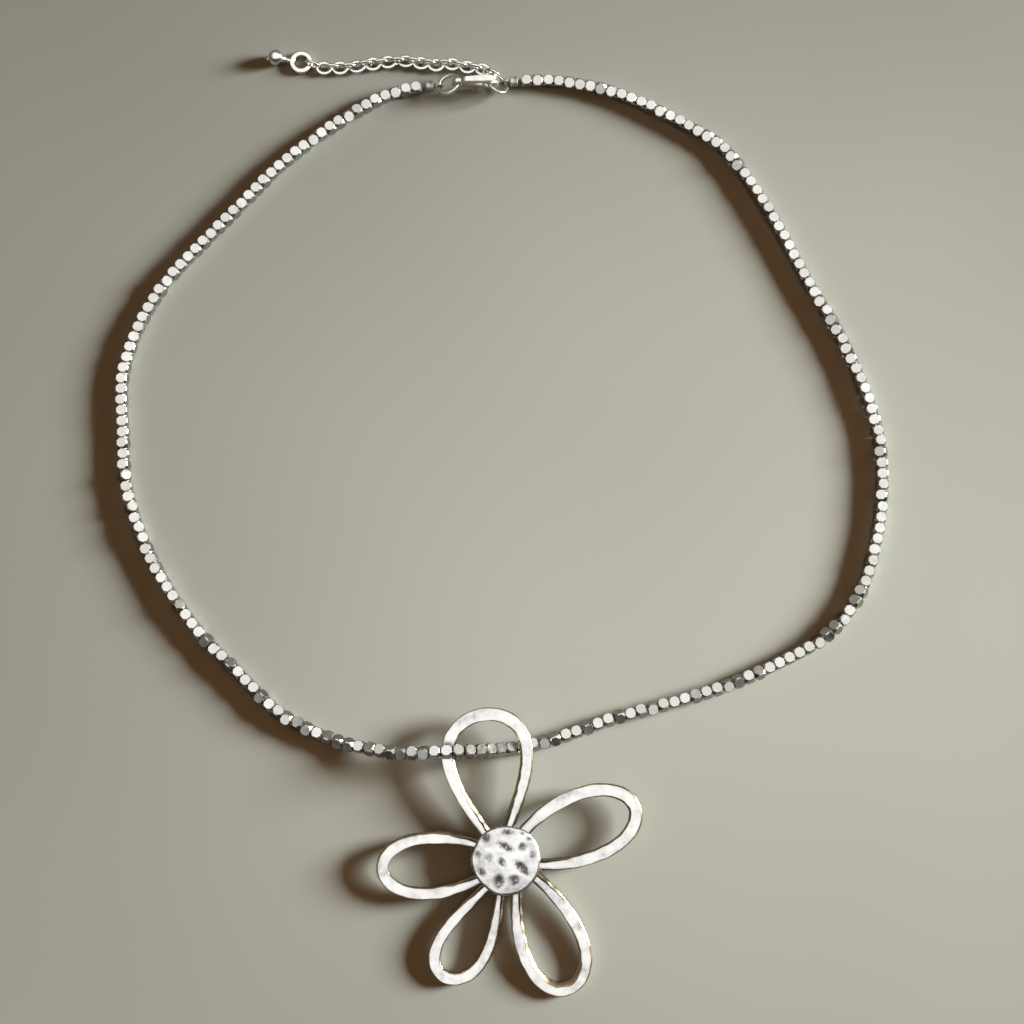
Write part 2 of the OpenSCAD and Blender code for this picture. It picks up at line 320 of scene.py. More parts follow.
fittingLook = {
    "metallic": 1.0, "roughLow": 0.13, "roughHigh": 0.26,
    "bright": (0.72, 0.71, 0.67), "shade": (0.60, 0.585, 0.54), "tarnish": (0.42, 0.36, 0.27),
    "cloudScale": 500, "fleckScale": 2500, "fleckDetail": 6,
    "fleckFrom": 0.66, "fleckSoft": 0.1, "fleckDepth": 0.4,
    "bumpScale": 1800, "bumpStrength": 0.12, "bumpDepth": 0.00008,
}
crimpLook = {
    "metallic": 0.9, "roughLow": 0.35, "roughHigh": 0.55,
    "bright": (0.47, 0.48, 0.45), "shade": (0.31, 0.31, 0.29), "tarnish": (0.10, 0.09, 0.08),
    "cloudScale": 900, "fleckScale": 2400, "fleckDetail": 6,
    "fleckFrom": 0.55, "fleckSoft": 0.1, "fleckDepth": 0.6,
    "bumpScale": 2500, "bumpStrength": 0.3, "bumpDepth": 0.00008,
}
beadMetal = metalFinish("beadMetal", beadLook)
pendantMetal = metalFinish("pendantMetal", pendantLook)
fittingMetal = metalFinish("fittingMetal", fittingLook)
crimpMetal = metalFinish("crimpMetal", crimpLook)
print("materials made")


# Geometry Nodes helpers

def startTree(name, sockets):
    tree = bpy.data.node_groups.new(name, "GeometryNodeTree")
    tree.interface.new_socket(name="Geometry", in_out="OUTPUT", socket_type="NodeSocketGeometry")
    tree.interface.new_socket(name="Geometry", in_out="INPUT", socket_type="NodeSocketGeometry")
    for label, kind in sockets:
        tree.interface.new_socket(name=label, in_out="INPUT", socket_type="NodeSocket" + kind)
    return tree, tree.nodes.new("NodeGroupInput"), tree.nodes.new("NodeGroupOutput")


# the shift keeps draws from the same seed apart
def randomNumber(tree, low, high, seed, shift):
    made = node(tree, "FunctionNodeRandomValue", {"data_type": "FLOAT"},
                Seed=maths(tree, "ADD", seed, shift))
    feed(tree, low, made.inputs[2])         # the sockets for plain numbers
    feed(tree, high, made.inputs[3])
    return made.outputs[1]


# a random number from minus this to this
def eitherWay(tree, most, seed, shift):
    return randomNumber(tree, maths(tree, "MULTIPLY", most, -1.0), most, seed, shift)


# the first where the choice is 1, and the second where it is 0
def choose(tree, choice, first, second):
    rest = maths(tree, "SUBTRACT", 1.0, choice)
    return maths(tree, "ADD", maths(tree, "MULTIPLY", choice, first), maths(tree, "MULTIPLY", rest, second))


# x along the path and z as near to upright as it can be
def standUp(tree, tangent):
    alongX = node(tree, "FunctionNodeAlignRotationToVector", {"axis": "X"}, Vector=tangent)
    upright = node(tree, "FunctionNodeAlignRotationToVector", {"axis": "Z", "pivot_axis": "X"},
                   Rotation=alongX.outputs[0], Vector=(0, 0, 1))
    return upright.outputs[0]


# turns each one further, in its own axes
def turnOwn(tree, rotation, euler):
    spin = node(tree, "FunctionNodeEulerToRotation", Euler=euler)
    turned = node(tree, "FunctionNodeRotateRotation", {"rotation_space": "LOCAL"})
    tree.links.new(rotation, turned.inputs[0])
    tree.links.new(spin.outputs[0], turned.inputs[1])
    return turned.outputs[0]


def copyOnto(tree, points, source, rotation):
    info = node(tree, "GeometryNodeObjectInfo", {"transform_space": "ORIGINAL"}, Object=source)
    placed = node(tree, "GeometryNodeInstanceOnPoints", Points=points,
                  Instance=info.outputs["Geometry"], Rotation=rotation)
    return placed.outputs[0]


# the last step of a tree: the material
def endTree(tree, end, copies, metal):
    finished = node(tree, "GeometryNodeSetMaterial", Geometry=copies, Material=metal)
    tree.links.new(finished.outputs[0], end.inputs[0])


def routePiece(name, points):
    data = bpy.data.meshes.new(name)
    data.from_pydata([tuple(float(c) * mm for c in p) for p in points],
                     [(i, i + 1) for i in range(len(points) - 1)], [])
    return linked(name, data)


# adds the tree with its inputs set, and returns the result as a plain mesh piece
def runTree(piece, tree, values, name):
    modifier = piece.modifiers.new(tree.name, "NODES")
    modifier.node_group = tree
    for item in tree.interface.items_tree:
        if item.in_out == "INPUT" and item.name in values:
            modifier[item.identifier] = values[item.name]
    data = plainMesh(piece, name)
    bpy.data.objects.remove(piece)
    return linked(name, data)


# The string of beads

beads = {
    "pitch": 2.04,
    "half": 1.04,         # half the width over the flats
    "short": 0.988,       # half the length along the string
    "reach": 1.25,        # the string's height over the surface
    "facet": 0.84,        # how far along its side a facet's long edge lies, in parts of the half width
    "corner": 0.40,       # half the length of that edge
    "bulge": 1.32,        # distance from the middle to the cut corners
    "hole": 0.42,
    "flatTurn": 0.16,     # how far a bead that lies flat is turned about the string
    "frontLean": 0.24,    # how far the front ones lean back
    "edgeTurnLow": 0.28,  # how far a bead that lies on an edge is turned
    "edgeTurnHigh": 0.62,
    "edgeShareTop": 0.20,
    "edgeShareFront": 0.52,
    "toFront": 0.55,      # how many of the front ones on an edge are turned towards the front
    "frontDark": 0.8,     # how much more painted shade their sides get
    "frontFrom": -15,     # the y at which the front of the string starts
    "frontTo": -35,       # and from which it is wholly the front
    "tilt": 0.03,         # how far a bead is tipped along the string
    "swing": 0.7,         # how far it is swung sideways, in parts of that
    "wear": 0.28,         # the most that a whole bead is darkened
    "seed": 11,
    "routeStep": 0.5,     # distance between the points of the fine route
    "treePoints": 1600,   # how many points of it the tree gets
    "wire": 0.19,
    "wireDrop": 0.1,      # how far the wire lies below the middle of the holes
    # painted shade: how dark the ends, the sides and the tops are, then the edges and the cut corners
    "faceShades": (0.85, 0.38, 0.0), "edgeShade": 0.15, "cornerShade": 0.25,
}
# x and y, and the height where the string is lifted by the top petal
strandRoute = [
    (3.7, 81.3), (9, 81.4), (14.5, 80.8), (20.5, 79.5), (28, 76.5), (35.5, 72.5), (42.5, 68),
    (48.5, 59.5), (53.5, 50.5), (58, 41.5), (63, 32.5), (67, 23), (70, 13), (70.5, 2.5), (69, -7.5),
    (65.5, -17.5), (59, -25), (50, -30), (40.5, -34), (30.5, -37), (21, -39.5), (12.5, -42.5), (6, -44.3),
    (2.5, -44.9, 1.5), (-1, -45.2, 2.8), (-5, -45.4, 5.0), (-9.5, -45.5, 5.75), (-14.5, -45.7, 4.9),
    (-19.5, -45.5, 3.5), (-24.5, -44.7, 2.1), (-29.5, -43.5, 1.35), (-39, -39), (-46.5, -32),
    (-54, -24.5), (-60, -16.5), (-65, -7.5), (-68.5, 2.5), (-69.5, 12.5), (-70, 23), (-67.5, 32.5),
    (-62.5, 41.5), (-55.5, 49.5), (-48.5, 57), (-41.5, 64.5), (-33.5, 71), (-26, 76), (-20.5, 78.8),
    (-14.35, 80.2),
]


# a cube with its corners cut off and its edges rounded, drilled along its own x
def beadShape():
    half = 1.0            # it is drawn in parts of the half width, and vert gives it its size
    a = beads["facet"]
    b = beads["corner"]
    around = [math.radians(22.5 + 45 * k) for k in range(9)]
    holeRim = [(beads["hole"] * math.cos(t), beads["hole"] * math.sin(t)) for t in around]
    shape = bmesh.new()
    # painted shade on each face: darkest in the hole and at the ends, none on the tops
    darker = shape.faces.layers.float.new("side")
    cache = {}

    def vert(p):
        key = tuple(round(c, 5) for c in p)
        if key not in cache:
            size = (beads["short"], beads["half"], beads["half"])
            cache[key] = shape.verts.new([c * k * mm for c, k in zip(p, size)])
        return cache[key]

    octagon = [(a, b), (b, a), (-b, a), (-a, b), (-a, -b), (-b, -a), (b, -a), (a, -b)]
    for axis in range(3):
        for sign in (-1, 1):
            def place(q):
                p = [0, 0, 0]
                p[axis] = sign * half
                p[(axis + 1) % 3], p[(axis + 2) % 3] = q
                return p
            rim = [vert(place(q)) for q in octagon]
            if axis == 0:
                inner = [vert(place(q)) for q in holeRim[:8]]
                faces = []
                for k in range(8):
                    n = (k + 1) % 8
                    faces.append(shape.faces.new((rim[k], rim[n], inner[n], inner[k])))
            else:
                faces = [shape.faces.new(rim)]
            for face in faces:
                face.smooth = False
                face[darker] = beads["faceShades"][axis]
    for k in range(8):
        ring = []
        for sign in (-1, 1):
            for step in (k, k + 1):
                ring.append(vert((sign * half, *holeRim[step])))
        wall = shape.faces.new((ring[0], ring[1], ring[3], ring[2]))
        wall.smooth = True
        wall[darker] = 1.0
    for axis in range(3):
        other, last = (axis + 1) % 3, (axis + 2) % 3
        for s in (-1, 1):
            for t in (-1, 1):
                def strip(m, n, z):
                    p = [0, 0, 0]
                    p[other], p[last], p[axis] = s * m, t * n, z
                    return vert(p)
                corners = (strip(half, a, -b), strip(half, a, b), strip(a, half, b), strip(a, half, -b))
                face = shape.faces.new(corners)
                face.smooth = True
                face[darker] = beads["edgeShade"]
    for sx in (-1, 1):
        for sy in (-1, 1):
            for sz in (-1, 1):
                loop = [(half, a, b), (half, b, a), (a, b, half),
                        (b, a, half), (b, half, a), (a, half, b)]
                ring = [vert((x * sx, y * sy, z * sz)) for x, y, z in loop]
                reach = beads["bulge"] / math.sqrt(3)
                top = vert((sx * reach, sy * reach, sz * reach))
                for k in (0, 2, 4):
                    face = shape.faces.new((ring[k], ring[k + 1], ring[(k + 2) % 6], top))
                    face.smooth = False
                    face[darker] = beads["cornerShade"]
    bmesh.ops.recalc_face_normals(shape, faces=shape.faces)
    for edge in shape.edges:
        # a crease shows where a flat face meets a rounded one
        if len({face.smooth for face in edge.link_faces}) == 2:
            edge.smooth = False
    data = bpy.data.meshes.new("bead")
    shape.to_mesh(data)
    shape.free()
    return linked("bead", data)


def beadTree(numbers):
    tree, start, end = startTree("threadBeads", [
        ("Bead", "Object"), ("Count", "Int"), ("Metal", "Material"), ("Seed", "Int"),
        *((label, "Float") for label in numbers)])
    get = start.outputs
    curve = node(tree, "GeometryNodeMeshToCurve", Mesh=get["Geometry"])
    even = node(tree, "GeometryNodeResampleCurve", {"mode": "COUNT"},
                Curve=curve.outputs[0], Count=get["Count"])
    tangent = node(tree, "GeometryNodeInputTangent")
    upright = standUp(tree, tangent.outputs[0])
    onEdge = randomNumber(tree, get["Edge Turn Low"], get["Edge Turn High"], get["Seed"], 1)
    chance = randomNumber(tree, 0.0, 1.0, get["Seed"], 2)
    # the front beads lean back a little, and more of them lie on an edge
    place = node(tree, "GeometryNodeInputPosition")
    where = node(tree, "ShaderNodeSeparateXYZ", Vector=place.outputs[0])
    front = spread(tree, where.outputs["Y"], get["Front From"], get["Front To"])
    flat = maths(tree, "ADD", eitherWay(tree, get["Flat Turn"], get["Seed"], 0),
                 maths(tree, "MULTIPLY", front, get["Front Lean"]))
    more = maths(tree, "SUBTRACT", get["Edge Share Front"], get["Edge Share Top"])
    share = maths(tree, "ADD", get["Edge Share Top"], maths(tree, "MULTIPLY", front, more))
    pick = maths(tree, "LESS_THAN", chance, share)
    # some of those are turned the other way, towards the front
    toFront = maths(tree, "LESS_THAN", randomNumber(tree, 0.0, 1.0, get["Seed"], 5),
                    maths(tree, "MULTIPLY", front, get["To Front"]))
    sign = maths(tree, "SUBTRACT", 1.0, maths(tree, "MULTIPLY", toFront, 2.0))
    onEdge = maths(tree, "MULTIPLY", onEdge, sign)
    angle = choose(tree, pick, onEdge, flat)
    tip = eitherWay(tree, get["Tilt"], get["Seed"], 7)
    swing = maths(tree, "MULTIPLY", tip, beads["swing"])
    euler = node(tree, "ShaderNodeCombineXYZ", X=angle, Y=tip, Z=swing)
    turned = turnOwn(tree, upright, euler.outputs[0])
    # a bead that lies on a flat sits lower than one that lies on an edge
    fold = maths(tree, "PINGPONG", angle, math.pi / 4)
    support = maths(tree, "ADD", maths(tree, "MULTIPLY", maths(tree, "COSINE", fold), get["Half"]),
                    maths(tree, "MULTIPLY", maths(tree, "SINE", fold), get["Facet"]))
    drop = node(tree, "ShaderNodeCombineXYZ", Z=maths(tree, "SUBTRACT", support, get["Reach"]))
    seated = node(tree, "GeometryNodeSetPosition", Geometry=even.outputs[0], Offset=drop.outputs[0])
    placed = copyOnto(tree, seated.outputs[0], get["Bead"], turned)
    wear = randomNumber(tree, 0.0, get["Wear"], get["Seed"], 3)
    marked = node(tree, "GeometryNodeStoreNamedAttribute", {"data_type": "FLOAT", "domain": "INSTANCE"},
                  Geometry=placed, Name="wear")
    tree.links.new(wear, marked.inputs["Value"])
    real = node(tree, "GeometryNodeRealizeInstances", Geometry=marked.outputs[0])
    # painted shade: the sides of the front beads are darker
    side = node(tree, "GeometryNodeInputNamedAttribute", {"data_type": "FLOAT"}, Name="side")
    more = maths(tree, "ADD", 1.0, maths(tree, "MULTIPLY", front, get["Front Dark"]))
    darker = maths(tree, "MULTIPLY", side.outputs[0], more)
    shaded = node(tree, "GeometryNodeStoreNamedAttribute", {"data_type": "FLOAT", "domain": "FACE"},
                  Geometry=real.outputs[0], Name="side")
    tree.links.new(darker, shaded.inputs["Value"])
    endTree(tree, end, shaded.outputs[0], get["Metal"])
    return tree


def makeBeads():
    route = [(*p, beads["reach"])[:3] for p in strandRoute]
    even, length = smoothRoute(route, beads["routeStep"], beads["reach"])
    count = int(length / beads["pitch"])
    spare = (length - count * beads["pitch"]) / 2 + beads["pitch"] / 2
    # the route from the first bead's middle to the last one's
    inner = pointsAt(even, np.linspace(spare, distances(even)[-1] - spare, beads["treePoints"]))
    bead = beadShape()
    numbers = {
        "Flat Turn": beads["flatTurn"],
        "Edge Turn Low": beads["edgeTurnLow"], "Edge Turn High": beads["edgeTurnHigh"],
        "Edge Share Top": beads["edgeShareTop"], "Edge Share Front": beads["edgeShareFront"],
        "Front From": beads["frontFrom"] * mm, "Front To": beads["frontTo"] * mm,
        "Front Lean": beads["frontLean"], "To Front": beads["toFront"], "Front Dark": beads["frontDark"],
        "Tilt": beads["tilt"], "Wear": beads["wear"], "Reach": beads["reach"] * mm,
        "Half": beads["half"] * mm, "Facet": beads["facet"] * beads["half"] * mm,
    }
    piece = runTree(routePiece("strandRoute", inner), beadTree(numbers), {
        "Bead": bead, "Count": count, "Metal": beadMetal, "Seed": beads["seed"], **numbers}, "beads")
    bpy.data.objects.remove(bead)
    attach(piece, "necklace")
    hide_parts("bead_strand")

    wirePath = [Vector(p) for p in even[::2] - np.array([0, 0, beads["wireDrop"]])]
    verts, faces = sweep(wirePath, [roundOutline(beads["wire"], sides=6)] * len(wirePath))
    wire = meshPiece("stringing_wire", verts, faces, crimpMetal)
    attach(wire, "necklace")
    print("beads strung:", count, "length", round(length, 1), "mm, faces", len(piece.data.polygons))


makeBeads()


# The flower pendant

pendant = {
    "at": (1.35, -64.25, 1.4872),   # the middle of the flat back
    "tilt": 3.66,
    "tipHeight": 1.4, "rootHeight": 1.9,
    "turnEnd": 165,                 # the petal curve runs from minus this to this, in degrees
    "step": 3.0,                    # degrees of the petal curve between rings
    "stopAt": 3.4,                  # how near the disc's middle the wires come
    "bevelSlope": 0.72,
    "bevelSize": 1.15, "bevelWaver": 0.35,   # what the table's bevels are multiplied by, and how unevenly
    "bevelRoot": 0.22,              # how much wider the bevels are at the disc
    "crease": 0.10,
    "creaseRoot": 0.50,             # how much wider the creases are there
    "rootReach": 13.0,              # how far from the disc's middle both are wider
    "dark": 0.34, "darkRoot": 1.5,  # how dark the patina in the creases is, and how much painted shade darkens it at the disc
    # how uneven the hammered wire is in its width, its height, its top and that top's lean
    "widthWaver": 0.09, "heightWaver": 0.07, "topWaver": 0.035, "leanWaver": 0.05,
    "disc": 6.1, "discBase": 1.3, "discEdge": 0.9, "crown": 0.6, "dentDepth": 0.19,
    "crownWaver": 0.05, "crownGrain": 0.010,
    "discSides": 132,
    "rimFrom": 0.925, "rimDrop": 0.20,
    "solder": 4.8, "solderTop": 1.5, "solderSides": 72,
}
# root x, root y, way, length, width, fullness, lean, width at the tip, width at the root
petals = [
    (-1.1, 0.8, 98, 24.8, 14.0, 0.77, -0.5, 2.4, 1.9),
    (0.3, 0.4, 22.8, 24.1, 11.2, 0.30, -0.5, 2.4, 1.9),
    (0, 0.1, 184.5, 21.9, 9.7, 0.35, 0, 2.2, 1.8),
    (-0.1, -0.8, 244.7, 22.1, 8.4, 0.90, -1.2, 2.1, 1.7),
    (2.1, -0.4, 293.7, 23.5, 10.4, 0.51, -0.4, 2.4, 1.9),
]
# x, y, length, width, turn, depth
dents = [
    (-3.4, 3.8, 1.7, 1.5, 40, 1.1), (0.4, 4.8, 1.9, 1.1, 0, 1.0), (3.0, 4.6, 0.9, 0.8, 0, 0.6),
    (4.3, 3.8, 1.1, 1.0, 0, 0.8), (0, 2.4, 2.8, 1.2, -25, 1.0), (3.0, 2.3, 1.5, 1.3, 0, 0.9),
    (-5.0, 1.0, 1.1, 1.0, 90, 0.8), (-3.0, 0.6, 1.5, 1.3, 0, 0.6), (-0.7, -0.2, 1.6, 1.1, -40, 1.0),
    (4.7, 0.9, 1.4, 1.2, 90, 0.7), (2.8, -1.2, 2.8, 1.3, -40, 1.1), (-4.3, -2.0, 1.8, 1.0, -30, 0.8),
    (-1.4, -3.5, 2.1, 1.7, 75, 1.1), (1.3, -3.3, 1.8, 1.4, 20, 1.0),
]


# the middle line of a petal's wire: a drop that starts and ends at its root, with its tip at turn 0
def petalPoint(row, turn):
    rootX, rootY, way, length, width, fullness, lean = row[:7]
    part = (1 + math.cos(turn)) / 2
    at = fullness / (1 + fullness)
    peak = math.sqrt(1 - at * at) * ((1 + at) / 2) ** fullness
    along = length * part
    across = width / 2 * math.sin(turn) * part ** fullness / peak + lean * part * part
    c = math.cos(math.radians(way))
    s = math.sin(math.radians(way))
    return rootX + along * c - across * s, rootY + along * s + across * c, part


# how wide the bevels are beside the flat top of the wire, in mm, at five places along a petal:
# the right limb's root and middle, the tip, the left limb's middle and root, seen from the disc
bevels = [
    {"inner": (0.40, 0.38, 0.08, 0.45, 0.60), "outer": (0.25, 0.20, 0.10, 0.10, 0.12)},
    {"inner": (0.65, 0.15, 0.32, 0.06, 0.15), "outer": (0.12, 0.12, 0.30, 0.06, 0.10)},
    {"inner": (0.45, 0.05, 0.06, 0.22, 0.65), "outer": (0.30, 0.40, 0.22, 0.08, 0.10)},
    {"inner": (0.15, 0.12, 0.15, 0.20, 0.15), "outer": (0.55, 0.22, 0.08, 0.35, 0.50)},
    {"inner": (0.40, 0.42, 0.80, 0.12, 0.15), "outer": (0.35, 0.10, 0.15, 0.30, 0.60)},
]
bevelStops = (-pendant["turnEnd"], -85, 0, 85, pendant["turnEnd"])


# half of a wire's section, from under its edge to the middle of its flat top: x, z, patina with painted
# shade, painted warm reflection
def sectionSide(half, h, bevel, crease, dark, top):
    brim = h - 0.03
    inset = min(0.07, 0.35 * bevel)
    crease = min(crease, 0.8 * bevel)
    edge = brim - pendant["bevelSlope"] * (bevel - inset - crease / 2)
    # the third number is patina with painted shade under the wire, low on its side and in the crease; the
    # fourth is a painted warm reflection on the walls and bevels
    return [
        (0.62 * half, 0, 0.4, 0.3), (0.86 * half, 0.05 * h, 0.4, 0.3),
        (0.98 * half, 0.22 * h, 0.4 * dark, 0.3), (half, 0.42 * h, 0.4 * dark, 0.4),
        (half, edge - 0.12, 0.8, 0.5), (half - inset, edge, 0.35, 1),
        (half - bevel + crease / 2, brim, 0.6 * dark * dark, 0.9),
        (half - bevel, brim - 0.6 * crease, min(1.0, 1.3 * dark), 0.5),
        (half - bevel - crease / 2, h + top[0], 0.6 * dark * dark, 0.1),
        ((half - bevel) * 0.45, h + top[1], 0.12 * dark, 0),
    ]


def petalWire(index, row):
    path, outlines, marks = [], [], []
    tipW, rootW = row[7], row[8]
    turn = -pendant["turnEnd"]
    while turn <= pendant["turnEnd"]:
        x, y, part = petalPoint(row, math.radians(turn))
        if math.hypot(x, y) > pendant["stopAt"]:
            grow = math.sqrt(part)
            spot = Vector((x * 0.55, y * 0.55, index * 7.3))    # each petal reads the noise elsewhere
            w = (rootW + (tipW - rootW) * grow) * (1 + pendant["widthWaver"] * noise.noise(spot))
            h = pendant["rootHeight"] + (pendant["tipHeight"] - pendant["rootHeight"]) * grow
            h += pendant["heightWaver"] * noise.noise(spot * 1.6 + Vector((9, 3, 1)))
            waver = [pendant["topWaver"] * noise.noise(spot * 1.7 + Vector((k * 0.9, 5, k)))
                     for k in range(4)]
            # patina in the creases, with painted shade that darkens it towards the disc
            root = max(0.0, 1 - math.hypot(x - 0.2, y) / pendant["rootReach"])
            dark = min(1.0, pendant["dark"] + pendant["darkRoot"] * root)
            crease = pendant["crease"] + pendant["creaseRoot"] * root
            lean = pendant["leanWaver"] * noise.noise(spot * 0.9 + Vector((2, 8, 3)))
            # the path runs up the right limb and down the left one, so the inside is on its left
            sides = {}
            for side, name in ((1, "inner"), (-1, "outer")):
                bevel = float(np.interp(turn, bevelStops, bevels[index][name]))
                waves = noise.noise(spot * 1.5 + Vector((3 * side, 1, 7)))
                bevel *= pendant["bevelSize"] + pendant["bevelWaver"] * waves
                bevel += pendant["bevelRoot"] * root
                top = (waver[1 + side] + side * lean, waver[2 + side] + 0.5 * side * lean)
                sides[side] = sectionSide(w / 2, h, bevel, crease, dark, top)
            left = sides[1]
            right = [(-a, z, patinaAndShade, paintedWarmSheen) for a, z, patinaAndShade, paintedWarmSheen in sides[-1]]
            outline = right + [(0, h + waver[2], 0.1 * dark, 0)] + left[::-1]
            path.append(Vector((x, y, 0)))
            outlines.append([point[:2] for point in outline])
            marks += [point[2:] for point in outline]
        turn += pendant["step"]
    verts, faces = sweep(path, outlines)
    return verts, faces, marks


# the hammered disc: rings of points from the middle of its back round to the middle of its crown
def discShape():
    r, base = pendant["disc"], pendant["discBase"]
    sides = pendant["discSides"]

    # the disc isn't quite round
    def reach(turn):
        return r * (1 - 0.012 * math.cos(3 * turn + 1.05) - 0.010 * math.cos(5 * turn - 0.7)
                    - 0.006 * math.cos(9 * turn + 0.4))

    # the height of the crown and how deep a dent is there: each has a low brim pushed up round it
    def crownAt(x, y, part):
        z = base + pendant["discEdge"] + pendant["crown"] * (1 - part * part)
        pit = 0.0
        for dx, dy, length, width, way, depth in dents:
            a = math.radians(way)
            u = ((x - dx) * math.cos(a) + (y - dy) * math.sin(a)) / (length / 2)
            v = (-(x - dx) * math.sin(a) + (y - dy) * math.cos(a)) / (width / 2)
            q = u * u + v * v
            pit += depth * (math.exp(-0.85 * q) - 0.10 * math.exp(-2.2 * (math.sqrt(q) - 1.6) ** 2))
        z -= pendant["dentDepth"] * pit
        z += pendant["crownWaver"] * noise.noise(Vector((x * 0.55, y * 0.55, 2.2))) * (1 - part ** 4)
        z += pendant["crownGrain"] * noise.noise(Vector((x * 1.9, y * 1.9, 8.1)))
        return z, max(0.0, min(1.0, pit))

    # the tarnish lies in each dent, pushed by painted shade into the side that faces the front, and is
    # broken up
    def patinaAndShadeAt(x, y, part):
        shift = 0.16 * max(-1.0, min(1.0, y / 3))
        pit = crownAt(x + shift, y - shift, part)[1]
        broken = 1 + 0.8 * noise.noise(Vector((x * 2.6, y * 2.6, 4.4)))
        return max(0.0, min(1.0, 1.3 * pit ** 0.85 * broken - 0.12))

    # parts of the radius, heights and patina with painted shade, from the middle of the back to the top of
    # the side
    rows = [(0.35, base, 0.6), (0.7, base, 0.6), (0.94, base, 0.6), (0.985, base + 0.08, 0.6),
            (1.0, base + 0.25, 0.5), (1.0, base + 0.5, 0.3), (0.998, base + 0.64, 0.1)]
    verts, marks = [(0, 0, base)], [0.6]
    for part, z, mark in rows:
        for turn in turnsRound(sides):
            verts.append((part * reach(turn) * math.cos(turn), part * reach(turn) * math.sin(turn), z))
            marks.append(mark)
    rimFrom = pendant["rimFrom"]
    parts = [0.988, 0.972, 0.95] + list(np.linspace(rimFrom, 0.035, 40))
    for part in parts:
        drop = pendant["rimDrop"] * (max(0.0, part - rimFrom) / (parts[0] - rimFrom)) ** 2
        for turn in turnsRound(sides):
            x = part * reach(turn) * math.cos(turn)
            y = part * reach(turn) * math.sin(turn)
            verts.append((x, y, crownAt(x, y, part)[0] - drop))
            marks.append(patinaAndShadeAt(x, y, part))
    z, pit = crownAt(0, 0, 0)
    verts.append((0, 0, z))
    marks.append(0.5 * pit)
    # the painted warm reflection is only on the back and low on the side
    sheenEnd = (len(rows) - 1) * sides
    marks = [(m, 0.0 if k > sheenEnd else 0.8) for k, m in enumerate(marks)]
    return verts, domeFaces(len(rows) + len(parts), sides), marks


# the low bed of solder under the disc, darkened by painted shade and given the painted warm reflection
def solderShape():
    sides, r, top = pendant["solderSides"], pendant["solder"], pendant["solderTop"]
    rows = [(r * 0.93, -0.05), (r, 0.06), (r, top)]
    verts = [(0, 0, -0.05)]
    for reach, z in rows:
        for turn in turnsRound(sides):
            swell = 1 + 0.015 * math.sin(4 * turn + 1)
            verts.append((reach * swell * math.cos(turn), reach * swell * math.sin(turn), z))
    verts.append((0, 0, top))
    return verts, domeFaces(len(rows), sides), [(0.75, 0.5)] * len(verts)


def makePendant():
    shapes = [petalWire(k, row) for k, row in enumerate(petals)] + [discShape(), solderShape()]
    marks = [m for shape in shapes for m in shape[2]]
    verts, faces = joinShapes([(v, f) for v, f, _ in shapes])
    place = Matrix.Translation(pendant["at"]) @ Matrix.Rotation(math.radians(pendant["tilt"]), 4, "X")
    piece = meshPiece("flower", [place @ Vector(v) for v in verts], faces, pendantMetal)
    # patina with painted shade, and a painted warm reflection
    for k, name in enumerate(("patinaAndShade", "paintedWarmSheen")):
        layer = piece.data.attributes.new(name, "FLOAT", "POINT")
        layer.data.foreach_set("value", [m[k] for m in marks])
    sharpen(piece, degrees=30)
    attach(piece, "necklace")
    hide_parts("flower_pendant")
    print("pendant made, faces", len(faces))


makePendant()


# The clasp, its rings and the crimps

clasp = {
    "x": -9.1, "y": 80.3, "z": 2.9,      # the middle of the eye
    "heelSlim": 0.66, "noseSlim": 0.86,  # how thin the casting is there, in parts of the solid's width
    "slimFrom": 2.2, "slimOver": 4.2,    # from where to where it changes
    "voxel": 0.00007, "smoothing": 18,
}
rings = {
    # where each crosses the clasp, from the middle of its eye, and how it hangs
    "left": {"swing": -21.5, "roll": -15, "cross": (1.3, 0), "way": -1},
    "right": {"swing": 32, "roll": -20, "cross": (7.0, 0.5), "way": 1},
    "radius": 2.05, "wire": 0.74, "squareness": 0.62,
    "gap": 0.07, "cutTurn": 118,         # the cut in the ring, and where it is
}
crimps = {
    "tube": 2.0, "length": 1.5, "loop": 0.85, "wire": 0.36,
    "left": {"at": (-14.05, 80.3, 1.25), "loopAt": (-11.75, 80.3, 1.35), "way": 1},
    "right": {"at": (3.55, 81.2, 1.25), "loopAt": (1.2, 81.1, 1.15), "way": -1},
    "squeeze": 0.16, "squeezeReach": 0.42,   # how much flatter the middle is, and over what length
}


def ringShape(radius, wire, cut=0.0, sides=18, count=72, flatten=1.0):
    outline = [(x, y * flatten) for x, y in roundOutline(wire / 2, sides, rings["squareness"])]
    start = cut / radius / 2
    path = []
    for k in range(count + 1 if cut else count):
        turn = start + (2 * math.pi - 2 * start) * k / count
        path.append(Vector((radius * math.cos(turn), radius * math.sin(turn), 0)))
    return sweep(path, [outline] * len(path), closed=not cut)


def moved(shape, place):
    return [place @ Vector(v) for v in shape[0]], shape[1]


def turnAbout(degrees, axis):
    return Matrix.Rotation(math.radians(degrees), 4, axis)


def makeRings():
    for side in ("left", "right"):
        ring = rings[side]
        cross = (clasp["x"] + ring["cross"][0], clasp["y"], clasp["z"] + ring["cross"][1])
        place = (Matrix.Translation(cross) @ turnAbout(ring["swing"], "Y")
                 @ Matrix.Translation((ring["way"] * rings["radius"], 0, 0))
                 @ turnAbout(ring["roll"], "X") @ turnAbout(rings["cutTurn"], "Z"))
        verts, faces = moved(ringShape(rings["radius"], rings["wire"], rings["gap"]), place)
        piece = meshPiece(side + "_jump_ring", verts, faces, fittingMetal)
        sharpen(piece, degrees=60)
        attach(piece, "necklace")
        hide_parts(side + "_ring")


